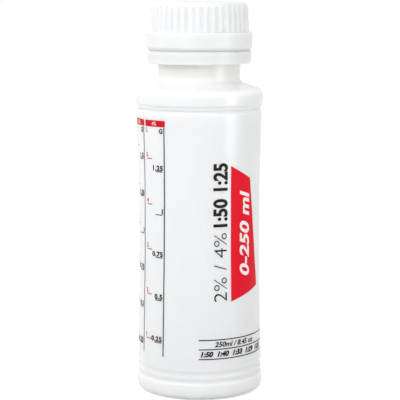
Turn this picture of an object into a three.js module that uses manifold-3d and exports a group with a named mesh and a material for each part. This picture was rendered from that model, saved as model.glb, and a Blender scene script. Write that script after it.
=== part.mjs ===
import * as THREE from "three";
import { mergeVertices } from "three/addons/utils/BufferGeometryUtils.js";
import Module from "manifold-3d";

// A measuring and mixing bottle: a blown bottle with a threaded neck, a ribbed screw cap, the foam liner that
// seals it, and the tamper ring that stays on the neck once the cap has been opened.
// Millimetres and degrees, +Z up. The bottle stands on z = 0 and its axis is the Z axis.

// Sizes of the bottle's body, from the base upwards
const bodyWall = 1.0;
const pushUpHeight = 2.6;
const pushUpFlatRadius = 8;
const standingInnerRadius = 20.6;
const footRadius = 27.4;
const footHeight = 7.1;
const footCorner = 3.4;
const footTopFillet = 0.5;
const footGrooves = 2;
const footGroovePitch = 3.4;
const footGrooveFlank = 0.8;
const footGrooveFloor = 1.0;
const footGrooveRadius = 26.65;
const footLipRadius = 26.95;
const panelRadius = 27.05;
const panelHeight = 108;
const waistRadius = 26.3;
const waistFromBottom = 46.5;
const waistFromTop = 30;
const waistFillet = 60;
const panelTopFillet = 0.8;
const hoopGrooveRadius = 26.4;
const hoopGrooveHeight = 2.2;
const hoopGrooveFall = 1.1;
const hoopGrooveRise = 0.55;
const hoopGrooveFillet = 0.6;
const hoopStepRadius = 26.95;
const hoopStepHeight = 1.6;
const hoopStepLand = 0.8;
const hoopRadius = 27.5;
const hoopHeight = 4.1;
const hoopBottomFillet = 0.3;
const hoopTopFillet = 0.9;

// Sizes of the shoulder and the neck
const shoulderEdgeRadius = 26.5;
const shoulderEdgeHeight = 1.7;
const shoulderEdgeFillet = 1.6;
const shoulderRise = 3.2;
const neckRootRadius = 17.5;
const neckRootFillet = 2.2;
const neckHeight = 30.6;
const neckRadius = 17.9;
const neckBoreRadius = 15.9;
const finishRadius = 17.6;
const rimChamfer = 0.5;
const neckBeadRadius = 20.2;
const neckBeadHeight = 2.2;
const neckBeadSlope = 1.2;

// Sizes of the screw thread, which the neck and the cap share
const threadLead = 4.2;
const threadTurns = 1.5;
const threadFromRim = 2.2;
const threadRootWidth = 2.4;
const threadCrestWidth = 1.2;
const neckThreadRadius = 18.65;
const capThreadRadius = 18.0;
const threadRunOut = 30;
const threadSink = 0.5;
const threadEndSink = 0.25;

// Sizes of the cap
const capHeight = 20.8;
const capTopThickness = 1.7;
const capCrown = 0.3;
const capCrownRadius = 6;
const capBoreRadius = 19.0;
const capBoreFillet = 1.0;
const capCorner = 3.5;
const gripTopRadius = 20.75;
const gripBaseRadius = 21.4;
const gripRibs = 40;
const gripRibDepth = 0.5;
const flangeRadius = 22.8;
const flangeHeight = 7.65;
const flangeEdge = 0.5;
const flangeChamferHeight = 1.35;
const flangeChamferRadius = 21.4;
const skirtInnerRadius = 20.4;
const skirtReliefHeight = 3.6;

// Sizes of the liner and of the tamper ring
const linerThickness = 1.4;
const linerClearance = 0.4;
const ringTearGap = 0.8;
const ringHeight = 4.9;
const ringTopRadius = 22.4;
const ringBottomRadius = 22.1;
const ringWall = 1.1;
const ringLipRadius = 19.2;
const ringLipHeight = 1.4;
const ringLipSlope = 0.5;
const ringLipSlots = 8;
const ringLipSlotWidth = 1.2;
const ringLipRoot = 0.3;
const ringCollarRadius = 21.9;
const ringCollarDepth = 1.0;
const ringEdge = 0.4;
const bridgeStubs = 12;
const bridgeStubWidth = 0.9;
const bridgeStubDepth = 0.25;
const bridgeStubSink = 0.3;

// Clearances
const seat = 0.3;
const lipClearance = 0.4;

// How far a cut reaches past the face that it opens
const cutOver = 1;

// Fineness: a fillet over the wide one's radius gets more steps
const facets = 40;
const filletSteps = 2;
const wideFilletSteps = 3;
const wideFillet = 2;
const capCornerSteps = 3;
const threadStepsPerTurn = 24;
const samplesPerRib = 4;

// Heights that follow from the sizes
const panelBottom = footHeight + footGrooves * footGroovePitch;
const panelTop = panelBottom + panelHeight;
const hoopStepBottom = panelTop + hoopGrooveHeight;
const hoopBottom = hoopStepBottom + hoopStepHeight;
const hoopTop = hoopBottom + hoopHeight;
const shoulderEdge = hoopTop + shoulderEdgeHeight;
const shoulderTop = shoulderEdge + shoulderRise;
const rim = shoulderTop + neckHeight;
const linerBottom = rim + seat;
const capCeiling = linerBottom + linerThickness + seat;
const capTop = capCeiling + capTopThickness;
const skirtBottom = capTop - capHeight;
const flangeTop = skirtBottom + flangeHeight;
const ringTop = skirtBottom - ringTearGap;
const ringBottom = ringTop - ringHeight;
const neckBeadBottom = ringBottom + ringEdge + ringLipHeight + lipClearance;
const neckThreadTop = rim - threadFromRim;
const capThreadTop = neckThreadTop - threadLead / 2;

// Unit vectors and turns
const turn = 2 * Math.PI;
const radians = Math.PI / 180;
const wasm = await Module();
wasm.setup();

// A closed geometry as a manifold-3d solid.
function solid(geometry) {
  geometry.deleteAttribute("normal");
  geometry.deleteAttribute("uv");
  const merged = mergeVertices(geometry, 1e-4);
  return new wasm.Manifold(
    new wasm.Mesh({
      numProp: 3,
      vertProperties: merged.attributes.position.array,
      triVerts: new Uint32Array(merged.index.array),
    }),
  );
}

// A manifold-3d solid as a named mesh.
function part(name, body, material) {
  const { numProp, numVert, vertProperties, triVerts } = body.getMesh();
  const places = new Float32Array(numVert * 3);
  for (let i = 0; i < numVert; i++)
    places.set(vertProperties.subarray(i * numProp, i * numProp + 3), i * 3);
  const geometry = new THREE.BufferGeometry();
  geometry.setAttribute("position", new THREE.BufferAttribute(places, 3));
  geometry.setIndex(new THREE.BufferAttribute(triVerts, 1));
  geometry.computeVertexNormals();
  const mesh = new THREE.Mesh(geometry, material);
  mesh.name = name;
  return mesh;
}

// An outline whose corners [radius, height, fillet] are rounded where they give a fillet. Each fillet takes
// at most half of either side.
function outline(corners) {
  const at = corners.map(([r, z]) => new THREE.Vector2(r, z));
  return corners.flatMap(([, , fillet], i) => {
    if (!fillet) return [at[i]];
    const back = at[i - 1].clone().sub(at[i]);
    const on = at[i + 1].clone().sub(at[i]);
    const halfAngle = Math.abs(back.angleTo(on)) / 2;
    const reach = Math.min(fillet / Math.tan(halfAngle), back.length() / 2, on.length() / 2);
    const from = at[i].clone().add(back.setLength(reach));
    const to = at[i].clone().add(on.setLength(reach));
    const steps = fillet > wideFillet ? wideFilletSteps : filletSteps;
    return new THREE.QuadraticBezierCurve(from, at[i], to).getPoints(steps);
  });
}

// A solid of revolution about the Z axis. The outline starts and ends on the axis, or closes on itself, and
// the solid lies to the left of it.
function revolve(corners) {
  return solid(new THREE.LatheGeometry(outline(corners), facets).rotateX(Math.PI / 2));
}

// A closed surface through equal rings of points. The first ring turns clockwise, seen from the rings after
// it, and both end rings are filled with a fan from their first point.
function loft(rings) {
  const around = rings[0].length;
  const faces = [];
  for (let k = 0; k + 1 < rings.length; k++)
    for (let i = 0; i < around; i++) {
      const a = k * around + i;
      const b = k * around + ((i + 1) % around);
      faces.push(a, a + around, b + around, a, b + around, b);
    }
  const last = (rings.length - 1) * around;
  for (let i = 1; i + 1 < around; i++) {
    faces.push(0, i, i + 1);
    faces.push(last, last + i + 1, last + i);
  }
  const geometry = new THREE.BufferGeometry().setFromPoints(rings.flat());
  geometry.setIndex(faces);
  return geometry;
}

// A point at an angle round the Z axis.
const polar = (radius, angle, height) =>
  new THREE.Vector3(radius * Math.cos(angle), radius * Math.sin(angle), height);

// A right-handed screw ridge from a wall out to its crest, or in to it. It grows out of the wall at both
// ends.
function screwRidge(wallRadius, crestRadius, top) {
  const outwards = Math.sign(crestRadius - wallRadius);
  const steps = Math.round(threadTurns * threadStepsPerTurn);
  const rings = [];
  for (let k = 0; k <= steps; k++) {
    const angle = (k / threadStepsPerTurn) * turn;
    const height = top - threadRootWidth / 2 - (threadTurns - angle / turn) * threadLead;
    const fromEnd = Math.min(angle, threadTurns * turn - angle) / (threadRunOut * radians);
    const grown = Math.min(1, fromEnd);
    const crest = THREE.MathUtils.lerp(wallRadius - outwards * threadEndSink, crestRadius, grown);
    const root = wallRadius - outwards * threadSink;
    const section = [
      [root, -threadRootWidth / 2],
      [crest, -threadCrestWidth / 2],
      [crest, threadCrestWidth / 2],
      [root, threadRootWidth / 2],
    ];
    if (outwards < 0) section.reverse();
    rings.push(section.map(([r, z]) => polar(r, angle, height + z)));
  }
  return solid(loft(rings));
}

// The bottle's outside, from the middle of the base up to the rim
function bottleOutside() {
  const corners = [
    [0, pushUpHeight],
    [pushUpFlatRadius, pushUpHeight],
    [standingInnerRadius, 0],
    [footRadius, 0, footCorner],
    [footRadius, footHeight - footGrooveFlank / 2, footTopFillet],
  ];
  for (let i = 0; i < footGrooves; i++) {
    const start = footHeight + i * footGroovePitch + footGrooveFlank / 2;
    const end = start + footGrooveFloor;
    const lip = i + 1 < footGrooves ? footLipRadius : panelRadius;
    corners.push([footGrooveRadius, start]);
    corners.push([footGrooveRadius, end]);
    corners.push([lip, end + footGrooveFlank]);
    if (i + 1 < footGrooves) corners.push([lip, start + footGroovePitch - footGrooveFlank]);
  }
  corners.push(
    [waistRadius, panelBottom + waistFromBottom, waistFillet],
    [waistRadius, panelTop - waistFromTop, waistFillet],
    [panelRadius, panelTop, panelTopFillet],
    [hoopGrooveRadius, panelTop + hoopGrooveFall, hoopGrooveFillet],
    [hoopGrooveRadius, hoopStepBottom - hoopGrooveRise],
    [hoopStepRadius, hoopStepBottom],
    [hoopStepRadius, hoopStepBottom + hoopStepLand],
    [hoopRadius, hoopBottom, hoopBottomFillet],
    [hoopRadius, hoopTop, hoopTopFillet],
    [shoulderEdgeRadius, shoulderEdge, shoulderEdgeFillet],
    [neckRootRadius, shoulderTop, neckRootFillet],
    [neckRadius, neckBeadBottom],
    [neckBeadRadius, neckBeadBottom],
    [neckBeadRadius, neckBeadBottom + neckBeadHeight],
    [finishRadius, neckBeadBottom + neckBeadHeight + neckBeadSlope],
    [finishRadius, rim - rimChamfer],
    [finishRadius - rimChamfer, rim],
  );
  return corners;
}

// The bottle's inside, from the rim down to the middle of the base, one wall behind the outside
function bottleInside() {
  const inset = ([r, z]) => [r - bodyWall, z];
  return [
    [neckBoreRadius, rim],
    [neckBoreRadius, shoulderTop - bodyWall, neckRootFillet],
    [shoulderEdgeRadius - bodyWall, shoulderEdge - bodyWall, shoulderEdgeFillet],
    inset([hoopRadius, hoopTop - bodyWall]),
    inset([hoopRadius, hoopBottom]),
    inset([hoopGrooveRadius, hoopStepBottom]),
    inset([panelRadius, panelTop - hoopGrooveHeight]),
    inset([waistRadius, panelTop - waistFromTop]),
    inset([waistRadius, panelBottom + waistFromBottom]),
    inset([panelRadius, panelBottom + footGrooveFlank]),
    inset([footGrooveRadius, panelBottom - footGrooveFloor]),
    inset([footGrooveRadius, footHeight]),
    [footRadius - bodyWall, bodyWall, footCorner - bodyWall],
    [standingInnerRadius, bodyWall],
    [pushUpFlatRadius, pushUpHeight + bodyWall],
    [0, pushUpHeight + bodyWall],
  ];
}

function bottle() {
  const body = revolve([...bottleOutside(), ...bottleInside()]);
  return body.add(screwRidge(finishRadius, neckThreadRadius, neckThreadTop));
}

// One ring of the cap's grip, clockwise: ribs with sloping sides, as deep as given
function gripRing(radius, height, depth) {
  const samples = gripRibs * samplesPerRib;
  return Array.from({ length: samples }, (_, i) => {
    const onRib = i % samplesPerRib >= samplesPerRib / 2;
    return polar(onRib ? radius : radius - depth, (-i / samples) * turn, height);
  });
}

// The ribbed drum over the flange, whose ribs die out over the rounded top edge
function grip() {
  const cornerHeight = capTop - capCrown - capCorner;
  const cornerRadius = gripTopRadius - capCorner;
  const rings = [gripRing(gripBaseRadius, flangeTop - flangeEdge, gripRibDepth)];
  for (let i = 0; i <= capCornerSteps; i++) {
    const angle = (i / capCornerSteps) * (Math.PI / 2);
    const radius = cornerRadius + capCorner * Math.cos(angle);
    const height = cornerHeight + capCorner * Math.sin(angle);
    rings.push(gripRing(radius, height, gripRibDepth * (1 - i / capCornerSteps)));
  }
  rings.push(gripRing(capCrownRadius, capTop, 0));
  return solid(loft(rings));
}

function cap() {
  const flange = revolve([
    [0, skirtBottom],
    [flangeChamferRadius, skirtBottom],
    [flangeRadius, skirtBottom + flangeChamferHeight],
    [flangeRadius, flangeTop, flangeEdge],
    [gripBaseRadius - gripRibDepth - flangeEdge, flangeTop],
    [0, flangeTop],
  ]);
  const hollow = revolve([
    [0, skirtBottom - cutOver],
    [skirtInnerRadius, skirtBottom - cutOver],
    [skirtInnerRadius, skirtBottom + skirtReliefHeight],
    [capBoreRadius, skirtBottom + skirtReliefHeight + skirtInnerRadius - capBoreRadius],
    [capBoreRadius, capCeiling, capBoreFillet],
    [0, capCeiling],
  ]);
  return flange
    .add(grip())
    .subtract(hollow)
    .add(screwRidge(capBoreRadius, capThreadRadius, capThreadTop));
}

// A disc cut from foam sheet, so its edges are square
function liner() {
  const radius = capBoreRadius - linerClearance;
  const top = linerBottom + linerThickness;
  return revolve([
    [0, linerBottom],
    [radius, linerBottom],
    [radius, top],
    [0, top],
  ]);
}

// Equal blocks round the axis, each reaching from one radius to another and between two heights
function blocksRound(count, inner, outer, width, low, high) {
  return Array.from({ length: count }, (_, i) => {
    const block = new THREE.BoxGeometry(outer - inner, width, high - low);
    block.translate((inner + outer) / 2, 0, (low + high) / 2);
    block.rotateZ(((i + 0.5) / count) * turn);
    return solid(block);
  });
}

// The ring under the cap: a slotted lip that catches under the bead, a collar that reaches up to the cap's
// skirt, and what is left of the bridges that joined the two
function tamperRing() {
  const inner = ringTopRadius - ringWall;
  const lipTop = ringBottom + ringEdge + ringLipHeight;
  const collarTop = skirtBottom - seat;
  const collarInner = skirtInnerRadius;
  const ring = revolve([
    [ringLipRadius, ringBottom + ringEdge],
    [ringBottomRadius - ringEdge, ringBottom],
    [ringBottomRadius, ringBottom + ringEdge],
    [ringTopRadius, ringTop, ringEdge],
    [ringCollarRadius, ringTop],
    [ringCollarRadius, collarTop],
    [collarInner, collarTop],
    [collarInner, ringTop - ringCollarDepth],
    [inner, ringTop - ringCollarDepth - (inner - collarInner)],
    [inner, lipTop],
    [ringLipRadius, lipTop - ringLipSlope],
    [ringLipRadius, ringBottom + ringEdge],
  ]);
  const stubs = blocksRound(
    bridgeStubs,
    ringCollarRadius - bridgeStubSink,
    ringCollarRadius + bridgeStubDepth,
    bridgeStubWidth,
    ringTop - bridgeStubSink,
    collarTop,
  );
  const slots = blocksRound(
    ringLipSlots,
    ringLipRadius - cutOver,
    inner - ringLipRoot,
    ringLipSlotWidth,
    ringBottom - cutOver,
    lipTop + cutOver,
  );
  const joined = stubs.reduce((whole, stub) => whole.add(stub), ring);
  return slots.reduce((whole, slot) => whole.subtract(slot), joined);
}

// Materials: milky bottle plastic, whiter cap plastic and white foam
const bottlePlastic = new THREE.MeshStandardMaterial({ color: 0xf2f1ee, roughness: 0.42, metalness: 0 });
const capPlastic = new THREE.MeshStandardMaterial({ color: 0xf6f7f8, roughness: 0.36, metalness: 0 });
const linerFoam = new THREE.MeshStandardMaterial({ color: 0xf4f3ee, roughness: 0.8, metalness: 0 });

const mixingBottle = new THREE.Group();
mixingBottle.add(
  part("bottle", bottle(), bottlePlastic),
  part("cap", cap(), capPlastic),
  part("cap_liner", liner(), linerFoam),
  part("tamper_ring", tamperRing(), capPlastic),
);

export default mixingBottle;
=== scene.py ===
import math

import bmesh
import bpy
import numpy as np
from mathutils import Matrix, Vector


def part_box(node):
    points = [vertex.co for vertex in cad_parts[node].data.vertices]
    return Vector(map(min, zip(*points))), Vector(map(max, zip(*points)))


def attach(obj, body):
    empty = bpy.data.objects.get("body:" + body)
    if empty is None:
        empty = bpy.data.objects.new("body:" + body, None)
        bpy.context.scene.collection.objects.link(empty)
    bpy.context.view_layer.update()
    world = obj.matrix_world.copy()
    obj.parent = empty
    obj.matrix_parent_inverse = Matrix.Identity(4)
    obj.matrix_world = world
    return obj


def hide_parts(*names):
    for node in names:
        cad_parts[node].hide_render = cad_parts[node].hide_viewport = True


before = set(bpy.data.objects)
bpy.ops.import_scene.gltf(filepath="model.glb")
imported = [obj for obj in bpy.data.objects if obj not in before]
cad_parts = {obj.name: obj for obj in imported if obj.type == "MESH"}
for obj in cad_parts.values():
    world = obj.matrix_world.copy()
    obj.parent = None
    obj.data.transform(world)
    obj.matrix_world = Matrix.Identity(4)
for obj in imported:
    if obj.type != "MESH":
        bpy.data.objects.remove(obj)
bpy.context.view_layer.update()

# A milky mixing bottle with a ribbed screw cap, a liner and a tamper ring, and with filling scales on it.
# Lengths are in millimetres and angles in degrees, measured round the axis from the front (-Y) towards +X.
# Blender's own units are metres, and a comment says so where a value below is in metres too.
MM = 0.001


def top(node):
    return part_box(node)[1].z / MM


def bottom(node):
    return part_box(node)[0].z / MM


def outer_radius(node):
    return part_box(node)[1].x / MM


# Heights and radii taken from the frame
RIM = top("bottle")
HOOP_RADIUS = outer_radius("bottle")
CAP_TOP = top("cap")
SKIRT = bottom("cap")
FLANGE_RADIUS = outer_radius("cap")
RING_BOTTOM = bottom("tamper_ring")
STUB_TOP = top("tamper_ring")
RING_RADIUS = outer_radius("tamper_ring")
LINER_BOTTOM = bottom("cap_liner")
LINER_TOP = top("cap_liner")
LINER_RADIUS = outer_radius("cap_liner")

# The bottle's foot
WALL = 1.0
PUSH_UP = 2.6
PUSH_UP_FLAT = 8
PUSH_UP_CURVE = 10
STANDING_INNER = 20.6
STANDING_CURVE = 1.2
FOOT_RADIUS = 27.4
FOOT_HEIGHT = 7.1
FOOT_CORNER = 3.4
FOOT_GROOVES = 2
GROOVE_PITCH = 3.4
GROOVE_FLANK = 0.8
GROOVE_FLOOR = 1.0
GROOVE_RADIUS = 26.78
GROOVE_CURVE = 1.2
GROOVE_LIP = 27.0
GROOVE_LIP_CURVE = 3.5

# The bottle's panel, hoop and shoulder
PANEL_RADIUS = 27.05
PANEL_BOTTOM = FOOT_HEIGHT + FOOT_GROOVES * GROOVE_PITCH
PANEL_TOP = PANEL_BOTTOM + 108
INSIDE_PANEL_TOP = PANEL_TOP - 2.2
WAIST_RADIUS = 26.3
WAIST_LOW = PANEL_BOTTOM + 46.5
WAIST_HIGH = PANEL_TOP - 30
WAIST_CURVE = 400
HOOP_GROOVE = 26.4
HOOP_GROOVE_FLANK = 1.1
HOOP_STEP = 26.95
HOOP_STEP_BOTTOM = PANEL_TOP + 2.2
HOOP_STEP_FLANK = 0.55
HOOP_STEP_HEIGHT = 0.8
HOOP_BOTTOM = HOOP_STEP_BOTTOM + 1.6
HOOP_TOP = HOOP_BOTTOM + 4.1
SHOULDER_EDGE = HOOP_TOP + 1.7
SHOULDER_EDGE_RADIUS = 26.5
SHOULDER_EDGE_CURVE = 1.6
SHOULDER_TOP = SHOULDER_EDGE + 3.2
SHOULDER_TOP_CURVE = 2.2

# The bottle's neck
NECK_ROOT = 17.5
NECK_RADIUS = 17.9
NECK_BORE = 15.9
BEAD_BOTTOM = RING_BOTTOM + 2.2
BEAD_TOP = BEAD_BOTTOM + 2.2
BEAD_RADIUS = 20.2
FINISH_BOTTOM = BEAD_BOTTOM + 3.4
FINISH_RADIUS = 17.6

# The mould seam down both sides, the angles beside it that get points, and the pinch-off ridge across the
# push-up. Widths are from the middle to an edge.
SEAM_SIDES = (-90, 90)
SEAM_BOTTOM = 0.4
SEAM_HEIGHT = 0.05
SEAM_WIDTH = 0.5
SEAM_POINTS = (-1.1, -0.5, 0, 0.5, 1.1)
PINCH_HEIGHT = 0.3
PINCH_WIDTH = 0.5
PINCH_REACH = STANDING_INNER - 3
# A little less than the wall, to tell its outer side from its inner side
WITHIN_WALL = 0.9

# The screw thread
LEAD = 4.2
THREAD_TURNS = 1.5
THREAD_START = 90
THREAD_HALF_ROOT = 1.2
THREAD_FOOT = 1.0
THREAD_CREST = 0.6
THREAD_RUN_OUT = 30
NECK_THREAD = 18.65
NECK_THREAD_TOP = RIM - 2.2
NECK_THREAD_LIMIT = RIM - 0.6
CAP_THREAD = 18.0
CAP_THREAD_TOP = NECK_THREAD_TOP - LEAD / 2

# The cap
CAP_BORE = 19.0
CAP_CEILING = LINER_TOP + 0.3
CEILING_CURVE = 1.0
CAP_CORNER = 3.5
CAP_CROWN = 0.3
CROWN_FLAT = 6
CROWN_CURVE = 4
TOP_SKIN = 1.2
GATE_RADIUS = 1.3
GATE_FLANK = 0.2
GATE_DEPTH = 0.25
GATE_NIB = 0.3
GATE_NIB_DEPTH = 0.05
GRIP_TOP = 20.75
GRIP_BASE = 21.3
GRIP_FOOT = 21.55
GRIP_FOOT_HEIGHT = 1.0
GRIP_MARGIN = 0.05
RIBS = 40
RIB_DEPTH = 0.5
RIB_VALLEY = -87
# Parts of half a rib's pitch, and of the cap's corner
VALLEY_FLAT = 0.25
VALLEY_FLANK = 0.45
RIB_FADE = 0.8
FLANGE_BOTTOM = SKIRT + 1.5
FLANGE_TOP = SKIRT + 7.65
SKIRT_EDGE = 21.85
SKIRT_INNER = 20.4
SKIRT_RELIEF = 3.6
BORE_BOTTOM = SKIRT + SKIRT_RELIEF + SKIRT_INNER - CAP_BORE
# How far outside the bore the cap's outer side begins, and how near the bore its own wall lies
CAP_OUTER = 0.8
NEAR_BORE = 0.3

# The liner, with the faint mark that the rim presses into it
RIM_MARK = 0.08
RIM_MARK_EDGE = 0.2

# The tamper ring
RING_TOP = SKIRT - 0.8
RING_INNER = RING_RADIUS - 1.1
RING_TAPER = 0.3
RING_CHAMFER = 0.4
RING_LIP = 19.2
LIP_TOP = RING_BOTTOM + 1.8
LIP_EDGE = 0.5
LIP_ROOT = RING_INNER - 0.3
LIP_SLOTS = 8
LIP_SLOT_WIDTH = 1.2
RING_COLLAR = 22.0
COLLAR_ROOT = RING_TOP - 1.0
SEAT = 0.08
STUBS = 12
STUB_WIDTH = 0.9
STUB_DEPTH = 0.25

# Lengths of the steps along the outlines, and numbers of points on fillets and round the axis
WALL_STEP = 2.5
CAP_STEP = 1.2
THREAD_STEP = 0.45
LINER_STEP = 0.6
RING_STEP = 0.5
FEWEST_ON_FILLET = 4
MOST_ON_FILLET = 14
BOTTLE_ROUND = 224
LINER_ROUND = 128
RING_ROUND = 240
ROUND_PER_RIB = 10
BESIDE_EDGE = 0.1
SHARP_EDGE = 35
NEARLY = 0.01
TINY = 1e-6


# Outlines and surfaces of revolution

def rounded(corners, step):
    """Points along an outline of corners (radius, height[, fillet]). A fillet is a smooth curve that takes
    half of either side at most, and long sides are cut into stretches of about one step."""
    at = [np.array(corner[:2], float) for corner in corners]
    path = []
    for i, corner in enumerate(corners):
        if len(corner) == 2:
            path.append(at[i])
            continue
        back, on = at[i - 1] - at[i], at[i + 1] - at[i]
        lengths = np.linalg.norm(back), np.linalg.norm(on)
        cosine = back @ on / (lengths[0] * lengths[1])
        half = math.acos(max(-1.0, min(1.0, cosine))) / 2
        reach = min(corner[2] / math.tan(half), lengths[0] / 2, lengths[1] / 2)
        start = at[i] + back / lengths[0] * reach
        end = at[i] + on / lengths[1] * reach
        count = min(MOST_ON_FILLET, FEWEST_ON_FILLET + round(2 * reach / step))
        for t in np.linspace(0, 1, count):
            path.append((1 - t) ** 2 * start + 2 * t * (1 - t) * at[i] + t * t * end)
    return cut(path, step)


def cut(path, step, low=-math.inf, high=math.inf):
    """Cuts the stretches of an outline that lie between two heights into lengths of about one step."""
    points = [path[0]]
    for a, b in zip(path, path[1:]):
        length = np.linalg.norm(b - a)
        if length < TINY:
            continue
        inside = low <= min(a[1], b[1]) and max(a[1], b[1]) <= high
        pieces = max(1, math.ceil(length / step)) if inside else 1
        points.extend(a + (b - a) * k / pieces for k in range(1, pieces + 1))
    return np.array(points)


def angles(count, extra=()):
    """Even angles round the axis with any extra ones among them, rounded so that equal ones merge."""
    even = [360 * i / count - 180 for i in range(count)]
    others = [(a + 180) % 360 - 180 for a in extra]
    return np.array(sorted(set(round(a, 5) for a in even + others)))


def around(a, r, z):
    """Points at given angles round the axis, radii and heights."""
    turned = np.radians(a)
    return np.stack([r * np.sin(turned), -r * np.cos(turned), z], axis=-1)


def mesh_object(name, vertices, faces, coat):
    """A smooth-shaded mesh in metres from millimetre vertices, with its edges sharp past an angle."""
    mesh = bpy.data.meshes.new(name)
    mesh.from_pydata((np.asarray(vertices) * MM).tolist(), [], faces)
    mesh.validate()
    mesh.shade_smooth()
    mesh.set_sharp_from_angle(angle=math.radians(SHARP_EDGE))
    mesh.materials.append(coat)
    piece = bpy.data.objects.new(name, mesh)
    bpy.context.scene.collection.objects.link(piece)
    return piece


def side_faces(rings, count, closed):
    """Faces between rings of points, and from the last ring back to the first where the surface closes."""
    faces = []
    for j in range(rings if closed else rings - 1):
        low, high = j * count, (j + 1) % rings * count
        for i in range(count):
            k = (i + 1) % count
            faces.append((low + i, low + k, high + k, high + i))
    return faces


def end_faces(rings, count, first, final):
    """Fans from the points on the axis to the first ring and the last."""
    faces = []
    high = (rings - 1) * count
    for i in range(count):
        k = (i + 1) % count
        faces.append((first, k, i))
        faces.append((final, high + i, high + k))
    return faces


def revolve(name, outline, round_angles, coat, shape=None):
    """A closed surface of revolution. The outline runs up the outside, and starts and ends on the axis or
    closes on itself. shape(angle, r, z) gives the radii and heights after ribs, threads and the like."""
    on_axis = outline[0][0] < TINY
    rings = outline[1:-1] if on_axis else outline[:-1]
    count = len(round_angles)
    a = np.repeat(round_angles[None, :], len(rings), axis=0)
    r = np.repeat(rings[:, 0][:, None], count, axis=1)
    z = np.repeat(rings[:, 1][:, None], count, axis=1)
    if shape:
        r, z = shape(a, r, z)
    vertices = around(a, r, z).reshape(-1, 3).tolist()
    faces = side_faces(len(rings), count, not on_axis)
    if on_axis:
        faces += end_faces(len(rings), count, len(vertices), len(vertices) + 1)
        vertices += [[0, 0, outline[0][1]], [0, 0, outline[-1][1]]]
    return mesh_object(name, vertices, faces, coat)


def smooth_step(x):
    x = np.clip(x, 0, 1)
    return x * x * (3 - 2 * x)


def thread_height(a, z, thread_top):
    """How far the screw ridge stands there, from 0 to 1. It is right-handed and dies out at both ends."""
    grown = np.zeros_like(z)
    for whole in range(math.ceil(THREAD_TURNS)):
        along = (a - THREAD_START) % 360 + 360 * whole
        middle = thread_top - THREAD_HALF_ROOT - (THREAD_TURNS - along / 360) * LEAD
        off = np.abs(z - middle)
        flank = smooth_step((THREAD_FOOT - off) / (THREAD_FOOT - THREAD_CREST))
        from_end = np.minimum(along, THREAD_TURNS * 360 - along) / THREAD_RUN_OUT
        grown = np.maximum(grown, flank * smooth_step(from_end))
    return grown


# Materials. Each has two base colours, for where its texture is low and where it is high.

MILKY = ((0.94, 0.936, 0.928), (0.975, 0.972, 0.965))
MOULDED_WHITE = ((0.775, 0.79, 0.797), (0.8, 0.815, 0.822))
FOAM = ((0.86, 0.85, 0.8), (0.92, 0.915, 0.88))
# Painted shade on the neck below the ring: the plastic's colour is multiplied by this, which sets in
# between two heights
NECK_PAINTED_SHADE = (0.85, 0.843, 0.815)
NECK_PAINTED_SHADE_FROM = SHOULDER_TOP + 0.4
NECK_PAINTED_SHADE_TO = SHOULDER_TOP + 3


def material(name):
    made = bpy.data.materials.new(name)
    made.use_nodes = True
    nodes = made.node_tree.nodes
    return made, nodes, made.node_tree.links, nodes["Principled BSDF"]


def noise(nodes, links, scale, detail, roughness, stretch=(1, 1, 1)):
    """Noise in the object's own metres."""
    place = nodes.new("ShaderNodeTexCoord")
    mapping = nodes.new("ShaderNodeMapping")
    mapping.inputs["Scale"].default_value = stretch
    texture = nodes.new("ShaderNodeTexNoise")
    texture.inputs["Scale"].default_value = scale
    texture.inputs["Detail"].default_value = detail
    texture.inputs["Roughness"].default_value = roughness
    links.new(place.outputs["Object"], mapping.inputs["Vector"])
    links.new(mapping.outputs["Vector"], texture.inputs["Vector"])
    return texture.outputs["Fac"]


def ramp(nodes, links, source, low, high, colours):
    """The first of two colours where a value is low, running to the second where it is high."""
    made = nodes.new("ShaderNodeValToRGB")
    for element, position, colour in zip(made.color_ramp.elements, (low, high), colours):
        element.position = position
        element.color = (*colour, 1)
    links.new(source, made.inputs["Fac"])
    return made.outputs["Color"]


def multiplied(nodes, links, first, second):
    """The product of two colours."""
    made = nodes.new("ShaderNodeMix")
    made.data_type = "RGBA"
    made.blend_type = "MULTIPLY"
    made.inputs["Factor"].default_value = 1.0
    links.new(first, made.inputs["A"])
    links.new(second, made.inputs["B"])
    return made.outputs["Result"]


def map_range(nodes, links, source, start, end, first, second):
    """Runs from a first value to a second one as the source goes from start to end."""
    made = nodes.new("ShaderNodeMapRange")
    made.inputs["From Min"].default_value = start
    made.inputs["From Max"].default_value = end
    made.inputs["To Min"].default_value = first
    made.inputs["To Max"].default_value = second
    links.new(source, made.inputs["Value"])
    return made


def height_between(nodes, links, low, high):
    """0 at a height in millimetres, rising to 1 at another."""
    place, axes = nodes.new("ShaderNodeTexCoord"), nodes.new("ShaderNodeSeparateXYZ")
    links.new(place.outputs["Object"], axes.inputs["Vector"])
    return map_range(nodes, links, axes.outputs["Z"], low * MM, high * MM, 0, 1).outputs["Result"]


def vary_roughness(nodes, links, shader, source, low, high):
    """Spreads a 0 to 1 value over a range of roughness."""
    spread = map_range(nodes, links, source, 0, 1, low, high)
    links.new(spread.outputs["Result"], shader.inputs["Roughness"])


def scatter(shader, weight, reach, scale):
    """Light that scatters under the skin. The scale is in metres."""
    shader.inputs["Subsurface Weight"].default_value = weight
    shader.inputs["Subsurface Radius"].default_value = reach
    shader.inputs["Subsurface Scale"].default_value = scale


def bumps(nodes, links, shader, layers):
    """Stacks bump layers (height source, strength, distance in metres) into the shader's normal."""
    previous = None
    for source, strength, distance in layers:
        bump = nodes.new("ShaderNodeBump")
        bump.inputs["Strength"].default_value = strength
        bump.inputs["Distance"].default_value = distance
        links.new(source, bump.inputs["Height"])
        if previous:
            links.new(previous.outputs["Normal"], bump.inputs["Normal"])
        previous = bump
    links.new(previous.outputs["Normal"], shader.inputs["Normal"])


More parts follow.
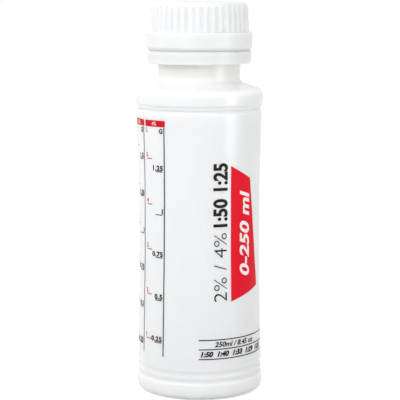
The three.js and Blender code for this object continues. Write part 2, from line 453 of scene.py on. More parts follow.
def bottle_plastic():
    """Milky blown plastic: faint clouding, painted shade on the neck, a satin skin and a blown wall's
    ripples.
    """
    made, nodes, links, shader = material("bottle_plastic")
    clouds = noise(nodes, links, scale=60, detail=4, roughness=0.6, stretch=(1, 1, 0.4))
    colour = ramp(nodes, links, clouds, 0.3, 0.7, MILKY)
    into_neck_shade = height_between(nodes, links, NECK_PAINTED_SHADE_FROM, NECK_PAINTED_SHADE_TO)
    # tint is the neck's painted shade, a slightly warm darkening that rises between two heights up the neck
    tint = ramp(nodes, links, into_neck_shade, 0, 1, ((1, 1, 1), NECK_PAINTED_SHADE))
    links.new(multiplied(nodes, links, colour, tint), shader.inputs["Base Color"])
    skin = noise(nodes, links, scale=900, detail=4, roughness=0.6)
    vary_roughness(nodes, links, shader, skin, low=0.2, high=0.3)
    shader.inputs["IOR"].default_value = 1.5
    scatter(shader, weight=0.7, reach=(1.0, 0.9, 0.8), scale=0.003)
    ripples = noise(nodes, links, scale=45, detail=2, roughness=0.4, stretch=(1, 1, 0.35))
    bumps(nodes, links, shader, [(ripples, 0.35, 0.0006), (skin, 0.18, 0.00008)])
    return made


def cap_plastic():
    """White moulded plastic: a nearly even colour and a light grain, which is shinier in its low spots."""
    made, nodes, links, shader = material("cap_plastic")
    tint = noise(nodes, links, scale=120, detail=3, roughness=0.5)
    links.new(ramp(nodes, links, tint, 0.3, 0.7, MOULDED_WHITE), shader.inputs["Base Color"])
    grain = noise(nodes, links, scale=2200, detail=3, roughness=0.6)
    vary_roughness(nodes, links, shader, grain, low=0.28, high=0.42)
    shader.inputs["IOR"].default_value = 1.49
    scatter(shader, weight=0.7, reach=(1.0, 0.97, 0.95), scale=0.0025)
    bumps(nodes, links, shader, [(grain, 0.2, 0.00005)])
    return made


def liner_foam():
    """Fine closed-cell foam with a dry skin."""
    made, nodes, links, shader = material("liner_foam")
    cells = nodes.new("ShaderNodeTexVoronoi")
    cells.inputs["Scale"].default_value = 2600
    place = nodes.new("ShaderNodeTexCoord")
    links.new(place.outputs["Object"], cells.inputs["Vector"])
    distance = cells.outputs["Distance"]
    links.new(ramp(nodes, links, distance, 0.0, 0.6, FOAM), shader.inputs["Base Color"])
    shader.inputs["Roughness"].default_value = 0.85
    scatter(shader, weight=0.15, reach=(1.0, 0.9, 0.8), scale=0.001)
    bumps(nodes, links, shader, [(distance, 0.5, 0.0001)])
    return made


def ink(name, colours, roughness):
    """Screen-printed ink, a little uneven where it lies thin."""
    made, nodes, links, shader = material(name)
    patches = noise(nodes, links, scale=700, detail=5, roughness=0.65)
    links.new(ramp(nodes, links, patches, 0.25, 0.6, colours), shader.inputs["Base Color"])
    vary_roughness(nodes, links, shader, patches, low=roughness - 0.08, high=roughness + 0.1)
    shader.inputs["Specular IOR Level"].default_value = 0.1
    bumps(nodes, links, shader, [(patches, 0.25, 0.00004)])
    return made


# The bottle. A corner's third number is its fillet, here and in the outlines after it.

def foot_outside():
    corners = [
        (0, PUSH_UP),
        (PUSH_UP_FLAT, PUSH_UP, PUSH_UP_CURVE),
        (STANDING_INNER, 0, STANDING_CURVE),
        (FOOT_RADIUS, 0, FOOT_CORNER),
        (FOOT_RADIUS, FOOT_HEIGHT - GROOVE_FLANK / 2, 0.6),
    ]
    for i in range(FOOT_GROOVES):
        start = FOOT_HEIGHT + i * GROOVE_PITCH + GROOVE_FLANK / 2
        end = start + GROOVE_FLOOR
        last = i + 1 == FOOT_GROOVES
        lip = PANEL_RADIUS if last else GROOVE_LIP
        corners.append((GROOVE_RADIUS, start, GROOVE_CURVE))
        corners.append((GROOVE_RADIUS, end, GROOVE_CURVE))
        corners.append((lip, end + GROOVE_FLANK, GROOVE_LIP_CURVE))
        if not last:
            corners.append((lip, start + GROOVE_PITCH - GROOVE_FLANK, 0.5))
    return corners


def body_outside():
    return [
        (WAIST_RADIUS, WAIST_LOW, WAIST_CURVE),
        (WAIST_RADIUS, WAIST_HIGH, WAIST_CURVE),
        (PANEL_RADIUS, PANEL_TOP, 0.8),
        (HOOP_GROOVE, PANEL_TOP + HOOP_GROOVE_FLANK, 0.6),
        (HOOP_GROOVE, HOOP_STEP_BOTTOM - HOOP_STEP_FLANK, 0.3),
        (HOOP_STEP, HOOP_STEP_BOTTOM, 0.3),
        (HOOP_STEP, HOOP_STEP_BOTTOM + HOOP_STEP_HEIGHT, 0.3),
        (HOOP_RADIUS, HOOP_BOTTOM, 0.5),
        (HOOP_RADIUS, HOOP_TOP, 0.9),
        (SHOULDER_EDGE_RADIUS, SHOULDER_EDGE, SHOULDER_EDGE_CURVE),
    ]


def neck_outside():
    return [
        (NECK_ROOT, SHOULDER_TOP, SHOULDER_TOP_CURVE),
        (NECK_RADIUS, BEAD_BOTTOM, 0.3),
        (BEAD_RADIUS, BEAD_BOTTOM, 0.2),
        (BEAD_RADIUS, BEAD_TOP, 0.4),
        (FINISH_RADIUS, FINISH_BOTTOM, 0.6),
        (FINISH_RADIUS, RIM, 0.5),
    ]


def bottle_inside():
    return [
        (NECK_BORE, RIM, 0.5),
        (NECK_BORE, SHOULDER_TOP - WALL, SHOULDER_TOP_CURVE),
        (SHOULDER_EDGE_RADIUS - WALL, SHOULDER_EDGE - WALL, SHOULDER_EDGE_CURVE),
        (HOOP_RADIUS - WALL, HOOP_TOP - WALL, 0.6),
        (HOOP_RADIUS - WALL, HOOP_BOTTOM, 0.6),
        (HOOP_GROOVE - WALL, HOOP_STEP_BOTTOM, 0.6),
        (PANEL_RADIUS - WALL, INSIDE_PANEL_TOP, 0.6),
        (WAIST_RADIUS - WALL, WAIST_HIGH, WAIST_CURVE),
        (WAIST_RADIUS - WALL, WAIST_LOW, WAIST_CURVE),
        (PANEL_RADIUS - WALL, PANEL_BOTTOM + GROOVE_FLANK, 0.6),
        (GROOVE_RADIUS - WALL, PANEL_BOTTOM - GROOVE_FLOOR, 0.6),
        (GROOVE_RADIUS - WALL, FOOT_HEIGHT, 0.6),
        (FOOT_RADIUS - WALL, WALL, FOOT_CORNER - WALL),
        (STANDING_INNER, WALL, STANDING_CURVE),
        (PUSH_UP_FLAT, PUSH_UP + WALL, PUSH_UP_CURVE),
        (0, PUSH_UP + WALL),
    ]


def bottle_outline():
    corners = foot_outside() + body_outside() + neck_outside() + bottle_inside()
    return cut(rounded(corners, WALL_STEP), THREAD_STEP, FINISH_BOTTOM, RIM)


OUTLINE = bottle_outline()
OUTSIDE = OUTLINE[:OUTLINE[:, 1].argmax()]


def bottle_shape(a, r, z):
    """Adds the neck's thread, the mould seam down both sides and the pinch-off ridge across the push-up."""
    past_bore = r > NECK_BORE + WITHIN_WALL
    outside = np.where(z > SHOULDER_TOP, past_bore, r > NECK_BORE)
    on_finish = (z > FINISH_BOTTOM) & (z < NECK_THREAD_LIMIT) & past_bore
    r = r + thread_height(a, z, NECK_THREAD_TOP) * on_finish * (NECK_THREAD - FINISH_RADIUS)
    off_seam = np.minimum(*(np.abs(a - side) for side in SEAM_SIDES)) * np.pi / 180 * r
    innermost = WAIST_RADIUS - WITHIN_WALL * (z < SHOULDER_EDGE)
    on_wall = (z > SEAM_BOTTOM) & (z < BEAD_BOTTOM) & outside & (r > innermost)
    seam = SEAM_HEIGHT * np.clip(1 - off_seam / SEAM_WIDTH, 0, 1)
    r = np.where(outside, np.minimum(r + seam * on_wall, np.maximum(r, HOOP_RADIUS)), r)
    across = np.abs(r * np.cos(np.radians(a)))
    under = (z < PUSH_UP + PINCH_HEIGHT) & (r < PINCH_REACH)
    z = z - under * PINCH_HEIGHT * np.clip(1 - across / PINCH_WIDTH, 0, 1)
    return r, z


def make_bottle(plastic):
    seams = [side + off for side in SEAM_SIDES for off in SEAM_POINTS]
    piece = revolve("blown_bottle", OUTLINE, angles(BOTTLE_ROUND, seams), plastic, bottle_shape)
    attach(piece, "bottle")
    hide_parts("bottle")


# The cap, its liner and the tamper ring

def cap_shape(a, r, z):
    """Adds the grip's ribs, which die out over the top edge, and the thread inside the bore."""
    phase = (a - RIB_VALLEY) / 360 * RIBS
    from_valley = np.abs(phase - np.round(phase)) * 2
    valley = 1 - smooth_step((from_valley - VALLEY_FLAT) / VALLEY_FLANK)
    corner_start = CAP_TOP - CAP_CROWN - CAP_CORNER
    fade = 1 - smooth_step((z - corner_start) / (RIB_FADE * CAP_CORNER))
    outer = (r > CAP_BORE + CAP_OUTER) | (z > CAP_TOP - TOP_SKIN)
    on_grip = (z > FLANGE_TOP - GRIP_MARGIN) & outer
    r = r - RIB_DEPTH * valley * fade * on_grip
    on_bore = (r > CAP_BORE - NEAR_BORE) & (r < CAP_BORE + NEAR_BORE)
    on_thread = on_bore & (z > BORE_BOTTOM) & (z < CAP_CEILING - CEILING_CURVE)
    thread = thread_height(a, z, CAP_THREAD_TOP) * on_thread
    return r - thread * (CAP_BORE - CAP_THREAD), z


def cap_inside():
    return [
        (0, CAP_CEILING),
        (CAP_BORE, CAP_CEILING, CEILING_CURVE),
        (CAP_BORE, BORE_BOTTOM, 0.3),
        (SKIRT_INNER, SKIRT + SKIRT_RELIEF, 0.3),
        (SKIRT_INNER, SKIRT, 0.2),
    ]


def cap_outside():
    return [
        (SKIRT_EDGE, SKIRT, 0.1),
        (FLANGE_RADIUS, FLANGE_BOTTOM, 0.8),
        (FLANGE_RADIUS, FLANGE_TOP, 0.6),
        (GRIP_FOOT, FLANGE_TOP, 0.25),
        (GRIP_BASE, FLANGE_TOP + GRIP_FOOT_HEIGHT, 0.4),
        (GRIP_TOP, CAP_TOP - CAP_CROWN, CAP_CORNER),
        (CROWN_FLAT, CAP_TOP, CROWN_CURVE),
    ]


def gate_mark():
    """The small dimple with a nib in it, in the middle of the cap's top."""
    return [
        (GATE_RADIUS, CAP_TOP, 0.1),
        (GATE_RADIUS - GATE_FLANK, CAP_TOP - GATE_DEPTH, 0.1),
        (GATE_NIB + GATE_FLANK, CAP_TOP - GATE_DEPTH, 0.1),
        (GATE_NIB, CAP_TOP - GATE_NIB_DEPTH, 0.1),
        (0, CAP_TOP - GATE_NIB_DEPTH),
    ]


def make_cap(plastic):
    outline = rounded(cap_inside() + cap_outside() + gate_mark(), CAP_STEP)
    outline = cut(outline, THREAD_STEP, BORE_BOTTOM, CAP_CEILING)
    piece = revolve("screw_cap", outline, angles(RIBS * ROUND_PER_RIB), plastic, cap_shape)
    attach(piece, "cap")
    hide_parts("cap")


def make_liner(foam):
    outline = rounded([
        (0, LINER_BOTTOM),
        (NECK_BORE - RIM_MARK_EDGE, LINER_BOTTOM, 0.2),
        (NECK_BORE, LINER_BOTTOM + RIM_MARK, 0.1),
        (FINISH_RADIUS, LINER_BOTTOM + RIM_MARK, 0.1),
        (FINISH_RADIUS + RIM_MARK_EDGE, LINER_BOTTOM, 0.1),
        (LINER_RADIUS, LINER_BOTTOM, 0.05),
        (LINER_RADIUS, LINER_TOP, 0.05),
        (0, LINER_TOP),
    ], LINER_STEP)
    piece = revolve("foam_liner", outline, angles(LINER_ROUND), foam)
    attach(piece, "liner")
    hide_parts("cap_liner")


def edge_angles(count, width, radius):
    """The angles of both edges of evenly spaced stubs or slots, and just outside them."""
    half = math.degrees(width / 2 / radius)
    edges = (-half - BESIDE_EDGE, -half, half, half + BESIDE_EDGE)
    return [(i + 0.5) / count * 360 + edge for i in range(count) for edge in edges]


def off_middle(a, count, radius):
    """How far round the ring it is to the middle of the nearest of some evenly spaced stubs or slots."""
    return np.abs(((a / 360 * count) % 1) - 0.5) * math.radians(360 / count) * radius


def ring_shape(a, r, z):
    """Raises the bridge stubs beside the collar and cuts the slots in the lip."""
    beside_collar = (np.abs(z - RING_TOP) < NEARLY) & (r < RING_COLLAR + STUB_DEPTH + NEARLY)
    in_stub = off_middle(a, STUBS, RING_COLLAR) < STUB_WIDTH / 2 + NEARLY
    z = np.where(in_stub & beside_collar, STUB_TOP, z)
    on_lip = (r < LIP_ROOT) & (z < LIP_TOP + NEARLY)
    in_slot = off_middle(a, LIP_SLOTS, RING_LIP) < LIP_SLOT_WIDTH / 2 + NEARLY
    return np.where(in_slot & on_lip, LIP_ROOT, r), z


def make_ring(plastic):
    outline = rounded([
        (RING_LIP, RING_BOTTOM + RING_CHAMFER),
        (RING_RADIUS - RING_TAPER - RING_CHAMFER, RING_BOTTOM, 0.2),
        (RING_RADIUS - RING_TAPER, RING_BOTTOM + RING_CHAMFER, 0.3),
        (RING_RADIUS, RING_TOP, 0.5),
        (RING_COLLAR + STUB_DEPTH, RING_TOP),
        (RING_COLLAR, RING_TOP),
        (RING_COLLAR, SKIRT - SEAT),
        (SKIRT_INNER, SKIRT - SEAT),
        (SKIRT_INNER, COLLAR_ROOT, 0.2),
        (RING_INNER, COLLAR_ROOT - (RING_INNER - SKIRT_INNER), 0.2),
        (RING_INNER, LIP_TOP, 0.2),
        (RING_LIP, LIP_TOP - LIP_EDGE, 0.2),
        (RING_LIP, RING_BOTTOM + RING_CHAMFER),
    ], RING_STEP)
    stubs = edge_angles(STUBS, STUB_WIDTH, RING_COLLAR)
    slots = edge_angles(LIP_SLOTS, LIP_SLOT_WIDTH, RING_LIP)
    piece = revolve("tamper_band", outline, angles(RING_ROUND, stubs + slots), plastic, ring_shape)
    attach(piece, "ring")
    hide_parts("tamper_ring")


# Printing: flat shapes in (degrees round the bottle, height), wrapped onto its wall as thin skins of ink

INK_DEPTH = 0.03
INK_LIFT = 0.03
OVERPRINT_LIFT = 0.055
PRINT_RADIUS = 26.7
DEGREE = math.radians(1) * PRINT_RADIUS
PRINT_INNERMOST = 25
PRINT_LOWEST, PRINT_HIGHEST = 5, 125
# Flat shapes are cut into strips this wide at most: bars in degrees and in height, letters along the bend
BAR_STRIP = 1.5
BAR_STRIP_HEIGHT = 4
LETTER_STRIP = 0.75
# The height of the built-in font's figures at size 1, and how finely its curves are drawn
GLYPH_HEIGHT = 0.69
GLYPH_STEPS = 5
WELD = 0.002
CUT_TOLERANCE = 0.001

# Each ink's colours where it is thin and where it is full, and its roughness
BLACK_INK = (((0.03, 0.024, 0.024), (0.012, 0.01, 0.01)), 0.4)
RED_INK = (((0.8, 0.007, 0.024), (0.76, 0.004, 0.018)), 0.45)
SCALE_INK = (((0.62, 0.006, 0.024), (0.56, 0.003, 0.018)), 0.45)
WHITE_INK = (((0.86, 0.8, 0.8), (0.92, 0.88, 0.88)), 0.42)

# The scale's columns: one for each percentage of oil, side by side round the bottle
PERCENTAGES = (4, 3.5, 3, 2.5, 2)
FIRST_LINE = -33.5
COLUMN_PITCH = 28.0
LEAN_PER_MM = 0.0184
LINE_WIDTH = 0.5
LINE_BOTTOM = 18.2
LINE_GAP = 0.1
HEADER_TOP = 119.3
HEADER_BOTTOM = HEADER_TOP - 2.7
FIRST_MARK_ML = 40
FIRST_MARK_HEIGHT = 24.95
HEIGHT_PER_ML = 0.487
MOST_ML = 212
# The oil that each percent takes in a litre and in a US gallon of fuel
ML_PER_LITRE_PERCENT = 10
ML_PER_GALLON_PERCENT = 37.8541
GALLON_STEP = 0.25
TICK_WIDTH = 0.38

# Places in a column, in degrees from the line on its left or on its right, and its lettering
HEADER_FROM_LEFT, HEADER_FROM_RIGHT = 3.4, 1.1
HEADER_WORDS = {"baseline": HEADER_BOTTOM + 0.55, "height": 1.6, "align": "centre"}
LITRE_TICK = (4.9, 12.6)
LITRE_UNIT_FROM_LEFT = 4.4
LITRE_UNIT = {"baseline": HEADER_BOTTOM - 2.4, "height": 1.9, "weight": 0.06}
LITRE_DIGITS_FROM_LEFT = 4.2
LITRE_DIGITS_ABOVE_TICK = 0.75
LITRE_DIGITS = {"height": 1.75, "weight": 0.08}
GALLON_TICK = (-10.6, -2.3)
GALLON_UNIT_FROM_RIGHT = -1.6
GALLON_UNIT = {"baseline": HEADER_BOTTOM - 2.7, "height": 1.9, "align": "right", "weight": 0.12}
GALLON_DIGITS_FROM_RIGHT = -1.7
GALLON_DIGITS_ABOVE_TICK = 0.5
GALLON_DIGITS = {"height": 2.0, "align": "right", "weight": 0.13, "width": 1.14, "spacing": 1.12}

# The front panel: a red field with the volume range, percentages and ratios up its side, and below it rules
# with the capacity and a row of ratios between them
FIELD = [(30.6, 42.4), (68.1, 47.4), (54.8, 94.4), (30.2, 100.4)]
FIELD_STRIPS = {"across": 26, "up": 20}
RULES = (26.35, 22.3, 18.1)
RULE_WIDTH = 0.42
RULE_ENDS = (-0.6, 84.0)
RANGE = {"angle": 52.9, "start": 52.8, "height": 5.5, "slant": 0.25, "weight": 0.24, "width": 1.26}
SIDE_PERCENTAGES = {"angle": 26.1, "start": 42.8, "height": 5.9, "weight": -0.1, "width": 1.1}
SIDE_RATIOS = {"angle": 26.1, "start": 74.7, "height": 5.9, "weight": 0.3, "width": 0.9}
CAPACITY = {"angle": 14.0, "baseline": 23.3, "height": 2.1, "slant": 0.25, "weight": 0.075, "width": 1.06}
RATIO_ROW = {"angle": 1.2, "baseline": 19.2, "height": 2.05, "slant": 0.25, "weight": 0.15, "width": 1.06}


def printable_wall():
    r, z = OUTSIDE[:, 0], OUTSIDE[:, 1]
    return OUTSIDE[(r > PRINT_INNERMOST) & (z > PRINT_LOWEST) & (z < PRINT_HIGHEST)]


PRINTABLE_WALL = printable_wall()


def wall_radius(height):
    return np.interp(height, PRINTABLE_WALL[:, 1], PRINTABLE_WALL[:, 0])


def height_of(ml):
    return FIRST_MARK_HEIGHT + (ml - FIRST_MARK_ML) * HEIGHT_PER_ML


def patch(corners, across=None, up=1):
    """A four-sided shape, cut into strips so that it can follow the wall. Its corners are (angle, height),
    with the bottom left first and then anticlockwise."""
    a, b, c, d = (np.array(p, float) for p in corners)
    widest = max(abs(b[0] - a[0]), abs(c[0] - d[0]))
    columns = across or max(1, math.ceil(widest / BAR_STRIP))
    points = []
    for j in range(up + 1):
        left, right = a + (d - a) * j / up, b + (c - b) * j / up
        points += [left + (right - left) * i / columns for i in range(columns + 1)]
    faces = []
    for j in range(up):
        for i in range(columns):
            k = j * (columns + 1) + i
            faces.append((k, k + 1, k + columns + 2, k + columns + 1))
    return np.array(points), faces


def bar(left, right, low, high):
    rows = max(1, math.ceil((high - low) / BAR_STRIP_HEIGHT))
    return patch([(left, low), (right, low), (right, high), (left, high)], up=rows)


def flat_letters(words, height, weight, slant, spacing):
    """A flat mesh of letters from the built-in font."""
    curve = bpy.data.curves.new("letters", "FONT")
    curve.body = words
    curve.size = height / GLYPH_HEIGHT
    curve.offset = weight
    curve.shear = slant
    curve.space_character = spacing
    curve.resolution_u = GLYPH_STEPS
    holder = bpy.data.objects.new("letters", curve)
    bpy.context.scene.collection.objects.link(holder)
    flat = bpy.data.meshes.new_from_object(holder)
    bpy.data.objects.remove(holder)
    bpy.data.curves.remove(curve)
    return flat


def cut_in_strips(shape, bent):
    """Cuts a flat shape into narrow strips across the direction (0 or 1) that will bend round the wall."""
    ends = [v.co[bent] for v in shape.verts]
    across = [0.0, 0.0, 0.0]
    across[bent] = 1.0
    for at in np.arange(min(ends) + LETTER_STRIP, max(ends), LETTER_STRIP):
        place = [at * n for n in across]
        everything = shape.verts[:] + shape.edges[:] + shape.faces[:]
        bmesh.ops.bisect_plane(shape, geom=everything, plane_co=place, plane_no=across, dist=CUT_TOLERANCE)


def lettering(words, height, bent, weight=0.0, slant=0.0, width=1.0, spacing=1.0):
    """Points and faces of flat letters in millimetres. Their baseline and their left edge are at 0."""
    flat = flat_letters(words, height, weight, slant, spacing)
    shape = bmesh.new()
    shape.from_mesh(flat)
    bpy.data.meshes.remove(flat)
    bmesh.ops.remove_doubles(shape, verts=shape.verts, dist=WELD)
    cut_in_strips(shape, bent)
    shape.verts.index_update()
    points = np.array([v.co[:2] for v in shape.verts])
    faces = [tuple(v.index for v in f.verts) for f in shape.faces]
    shape.free()
    points[:, 0] = (points[:, 0] - points[:, 0].min()) * width
    return points, faces


def written(words, angle, baseline, height, align="left", **style):
    """Letters that read round the bottle."""
    points, faces = lettering(words, height, 0, **style)
    if align == "right":
        points[:, 0] -= points[:, 0].max()
    if align == "centre":
        points[:, 0] -= points[:, 0].max() / 2
    points[:, 0] = angle + points[:, 0] / DEGREE
    points[:, 1] += baseline
    return points, faces


def written_up(words, angle, start, height, **style):
    """Letters that read up the bottle, with their baseline at an angle and their start at a height."""
    points, faces = lettering(words, height, 1, **style)
    turned = np.stack([angle - points[:, 1] / DEGREE, start + points[:, 0]], axis=1)
    return turned, faces


def merged(points, faces):
    """Joins points that lie together, and drops the faces in which two corners have become one."""
    seen, index = {}, []
    for x, y in points:
        index.append(seen.setdefault((round(x, 4), round(y, 4)), len(seen)))
    kept = []
    for face in faces:
        corners = tuple(index[v] for v in face)
        if len(set(corners)) == len(corners):
            kept.append(corners)
    return np.array(list(seen)), kept


def area_sign(points, face):
    p = points[list(face)]
    return np.sum(p[:, 0] * np.roll(p[:, 1], -1) - np.roll(p[:, 0], -1) * p[:, 1])


def ink_skin(points, faces, lift):
    """A flat shape as a closed skin, from just outside the wall to just inside it."""
    points, faces = merged(points, faces)
    faces = [face if area_sign(points, face) > 0 else face[::-1] for face in faces]
    count = len(points)
    wall = wall_radius(points[:, 1])
    vertices, skin = [], []
    for offset in (lift, -INK_DEPTH):
        vertices += around(points[:, 0], wall + offset, points[:, 1]).tolist()
    for face in faces:
        skin.append(face)
        skin.append(tuple(count + v for v in face[::-1]))
    edges = dict.fromkeys(edge for face in faces for edge in zip(face, face[1:] + face[:1]))
    for v, w in edges:
        if (w, v) not in edges:
            skin.append((w, v, count + v, count + w))
    return vertices, skin


def printed(name, shapes, coat, lift):
    """One piece of ink that holds a closed skin for each shape."""
    vertices, faces = [], []
    for points, flat_faces in shapes:
        skin_vertices, skin = ink_skin(points, flat_faces, lift)
        faces += [tuple(len(vertices) + v for v in face) for face in skin]
        vertices += skin_vertices
    piece = mesh_object(name, vertices, faces, coat)
    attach(piece, "bottle")


def plain(number):
    return f"{number:g}"


def leaning(shapes):
    """The scale is printed slightly out of upright, turned about its headers."""
    return [(points + [[LEAN_PER_MM, 0]] * (points[:, 1:] - HEADER_TOP), faces) for points, faces in shapes]


def scale_line(angle, high):
    half = LINE_WIDTH / 2 / DEGREE
    return bar(angle - half, angle + half, LINE_BOTTOM, high)


def tick(line, ends, height):
    return bar(line + ends[0], line + ends[1], height - TICK_WIDTH / 2, height + TICK_WIDTH / 2)


def litre_marks(percent, left):
    marks = []
    litres = 1
    while litres * percent * ML_PER_LITRE_PERCENT <= MOST_ML:
        height = height_of(litres * percent * ML_PER_LITRE_PERCENT)
        above = height + LITRE_DIGITS_ABOVE_TICK
        marks.append(tick(left, LITRE_TICK, height))
        marks.append(written(plain(litres), left + LITRE_DIGITS_FROM_LEFT, above, **LITRE_DIGITS))
        litres += 1
    return marks


def gallon_marks(percent, line):
    marks = []
    gallons = GALLON_STEP
    while gallons * percent * ML_PER_GALLON_PERCENT <= MOST_ML:
        height = height_of(gallons * percent * ML_PER_GALLON_PERCENT)
        above = height + GALLON_DIGITS_ABOVE_TICK
        marks.append(tick(line, GALLON_TICK, height))
        marks.append(written(plain(gallons), line + GALLON_DIGITS_FROM_RIGHT, above, **GALLON_DIGITS))
        gallons += GALLON_STEP
    return marks


def column(percent, line):
    """One column of the scale, left of its line: the line, a header, and the litre and gallon marks."""
    left = line - COLUMN_PITCH
    header = (left + HEADER_FROM_LEFT, line + HEADER_FROM_RIGHT)
    black = [scale_line(line, HEADER_BOTTOM - LINE_GAP)]
    black.append(written("G", line + GALLON_UNIT_FROM_RIGHT, **GALLON_UNIT))
    black += gallon_marks(percent, line)
    red = [bar(*header, HEADER_BOTTOM, HEADER_TOP)]
    red.append(written("L", left + LITRE_UNIT_FROM_LEFT, **LITRE_UNIT))
    red += litre_marks(percent, left)
    white = [written(plain(percent) + "%", sum(header) / 2, **HEADER_WORDS)]
    return black, red, white


def front_panel():
    black = [bar(*RULE_ENDS, z - RULE_WIDTH / 2, z + RULE_WIDTH / 2) for z in RULES]
    black.append(written("250ml / 8.45 oz", **CAPACITY))
    black.append(written("1:50  1:40  1:33  1:29  1:25", **RATIO_ROW))
    black.append(written_up("2% / 4%", **SIDE_PERCENTAGES))
    black.append(written_up("1:50 1:25", **SIDE_RATIOS))
    red = [patch(FIELD, **FIELD_STRIPS)]
    white = [written_up("0-250 ml", **RANGE)]
    return black, red, white


def make_print():
    black, red, white = front_panel()
    scale_red = []
    for i, percent in enumerate(PERCENTAGES):
        more_black, more_red, more_white = column(percent, FIRST_LINE - i * COLUMN_PITCH)
        black += leaning(more_black)
        scale_red += leaning(more_red)
        white += leaning(more_white)
    last_line = FIRST_LINE - len(PERCENTAGES) * COLUMN_PITCH
    black += leaning([scale_line(last_line, HEADER_BOTTOM)])
    printed("black_print", black, ink("black_ink", *BLACK_INK), INK_LIFT)
    printed("red_print", red, ink("red_ink", *RED_INK), INK_LIFT)
    printed("scale_print", scale_red, ink("scale_ink", *SCALE_INK), INK_LIFT)
    printed("white_print", white, ink("white_ink", *WHITE_INK), OVERPRINT_LIFT)


# Camera. The lens is in millimetres as well, and the clipping distances are in metres.

CAMERA_DISTANCE = 624.3
CAMERA_HEIGHT = 169.9
CAMERA_ASIDE = 0.26
CAMERA_PITCH = 7.94
CAMERA_LENS = 129.8
CAMERA_SENSOR = 36
CLIP_START, CLIP_END = 0.01, 50


def make_camera():
    data = bpy.data.cameras.new("camera")
    data.lens = CAMERA_LENS
    data.sensor_width = CAMERA_SENSOR
    data.clip_start = CLIP_START
    data.clip_end = CLIP_END
    camera = bpy.data.objects.new("camera", data)
    camera.location = (CAMERA_ASIDE * MM, -CAMERA_DISTANCE * MM, CAMERA_HEIGHT * MM)
    camera.rotation_euler = (math.radians(90 - CAMERA_PITCH), 0, 0)
    bpy.context.scene.collection.objects.link(camera)
    bpy.context.scene.camera = camera


# World, floor and lamps. Places and sizes are in metres, and the lamps' power is in watts.

WORLD_COLOUR = (0.997, 0.998, 1.0, 1)
WORLD_LIGHT = 1.05
# The world dims to this on the right, as the direction's X goes from one of two values to the other
WORLD_LIGHT_RIGHT = 0.42
RIGHT_FROM, RIGHT_TO = 0.2, 0.9
WHITE = (1, 1, 1, 1)
# Where the floor throws light on the object, it is darker near the object and paler far off
FLOOR_NEAR, FLOOR_FAR = 0.5, 0.85
FLOOR_NEAR_REACH, FLOOR_FAR_REACH = 0.05, 0.6
# Where the floor is seen, it is this grey, which takes the shadow, and glows this much
FLOOR_SHADE = 0.4
FLOOR_GLOW = 0.7
FLOOR_SIZE = 6.0
LAMP_AIM = (0, 0, 0.09)
KEY = {"place": (-0.35, -0.45, 0.55), "size": (0.4, 0.5), "power": 1.75, "colour": (1.0, 0.995, 0.985)}
FILL = {"place": (0.5, -0.3, 0.08), "size": (0.2, 0.3), "power": 0.85, "colour": (1.0, 0.985, 0.97)}


def seen_directly(nodes, links):
    """1 for rays from the camera, from a mirror and through glass."""
    path = nodes.new("ShaderNodeLightPath")
    first = nodes.new("ShaderNodeMath")
    first.operation = "MAXIMUM"
    second = nodes.new("ShaderNodeMath")
    second.operation = "MAXIMUM"
    links.new(path.outputs["Is Camera Ray"], first.inputs[0])
    links.new(path.outputs["Is Glossy Ray"], first.inputs[1])
    links.new(first.outputs["Value"], second.inputs[0])
    links.new(path.outputs["Is Transmission Ray"], second.inputs[1])
    return second.outputs["Value"]


def lit_or_seen(nodes, links, lit, seen, output):
    """Joins the shader that lights the object and the one that is seen directly, up to the output node."""
    mix, out = nodes.new("ShaderNodeMixShader"), nodes.new(output)
    links.new(seen_directly(nodes, links), mix.inputs["Fac"])
    links.new(lit, mix.inputs[1])
    links.new(seen, mix.inputs[2])
    links.new(mix.outputs["Shader"], out.inputs["Surface"])


def make_world():
    world = bpy.data.worlds.new("studio")
    bpy.context.scene.world = world
    world.use_nodes = True
    nodes, links = world.node_tree.nodes, world.node_tree.links
    nodes.clear()
    direction, axes = nodes.new("ShaderNodeTexCoord"), nodes.new("ShaderNodeSeparateXYZ")
    links.new(direction.outputs["Generated"], axes.inputs["Vector"])
    rightwards = axes.outputs["X"]
    light = map_range(nodes, links, rightwards, RIGHT_FROM, RIGHT_TO, WORLD_LIGHT, WORLD_LIGHT_RIGHT)
    light.interpolation_type = "SMOOTHSTEP"
    lit, shown = nodes.new("ShaderNodeBackground"), nodes.new("ShaderNodeBackground")
    lit.inputs["Color"].default_value = WORLD_COLOUR
    links.new(light.outputs["Result"], lit.inputs["Strength"])
    shown.inputs["Color"].default_value = WHITE
    shown.inputs["Strength"].default_value = 1.0
    backgrounds = lit.outputs["Background"], shown.outputs["Background"]
    lit_or_seen(nodes, links, *backgrounds, "ShaderNodeOutputWorld")


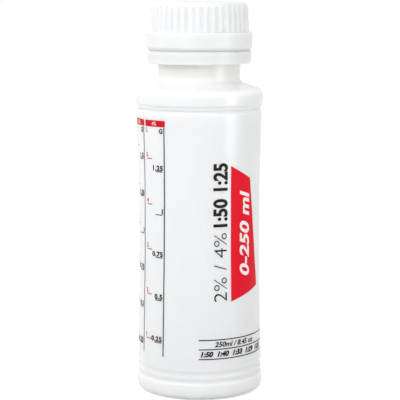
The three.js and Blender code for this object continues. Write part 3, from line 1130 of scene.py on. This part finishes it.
def floor_material():
    """A floor that is seen white, apart from the object's shadow."""
    made = bpy.data.materials.new("pale_floor")
    made.use_nodes = True
    nodes, links = made.node_tree.nodes, made.node_tree.links
    nodes.clear()
    lit, shaded = nodes.new("ShaderNodeBsdfDiffuse"), nodes.new("ShaderNodeBsdfDiffuse")
    place, distance = nodes.new("ShaderNodeTexCoord"), nodes.new("ShaderNodeVectorMath")
    distance.operation = "LENGTH"
    links.new(place.outputs["Object"], distance.inputs[0])
    reach = FLOOR_NEAR_REACH, FLOOR_FAR_REACH
    paler = map_range(nodes, links, distance.outputs["Value"], *reach, FLOOR_NEAR, FLOOR_FAR)
    links.new(paler.outputs["Result"], lit.inputs["Color"])
    shaded.inputs["Color"].default_value = (FLOOR_SHADE, FLOOR_SHADE, FLOOR_SHADE, 1)
    glow, shown = nodes.new("ShaderNodeEmission"), nodes.new("ShaderNodeAddShader")
    glow.inputs["Strength"].default_value = FLOOR_GLOW
    links.new(shaded.outputs["BSDF"], shown.inputs[0])
    links.new(glow.outputs["Emission"], shown.inputs[1])
    lit_or_seen(nodes, links, lit.outputs["BSDF"], shown.outputs["Shader"], "ShaderNodeOutputMaterial")
    return made


def make_floor():
    half = FLOOR_SIZE / 2
    corners = [(-half, -half, 0), (half, -half, 0), (half, half, 0), (-half, half, 0)]
    mesh = bpy.data.meshes.new("floor")
    mesh.from_pydata(corners, [], [(0, 1, 2, 3)])
    mesh.materials.append(floor_material())
    floor = bpy.data.objects.new("floor", mesh)
    bpy.context.scene.collection.objects.link(floor)


def soft_light(name, place, size, power, colour):
    data = bpy.data.lights.new(name, "AREA")
    data.shape = "RECTANGLE"
    data.size, data.size_y = size
    data.energy = power
    data.color = colour
    light = bpy.data.objects.new(name, data)
    light.location = place
    towards = Vector(LAMP_AIM) - Vector(place)
    light.rotation_euler = towards.to_track_quat("-Z", "Y").to_euler()
    bpy.context.scene.collection.objects.link(light)


def main():
    make_camera()
    plastic, moulded = bottle_plastic(), cap_plastic()
    make_bottle(plastic)
    make_cap(moulded)
    make_liner(liner_foam())
    make_ring(moulded)
    make_print()
    make_world()
    make_floor()
    soft_light("key", **KEY)
    soft_light("fill", **FILL)
    bpy.context.scene.view_settings.view_transform = "Standard"


main()
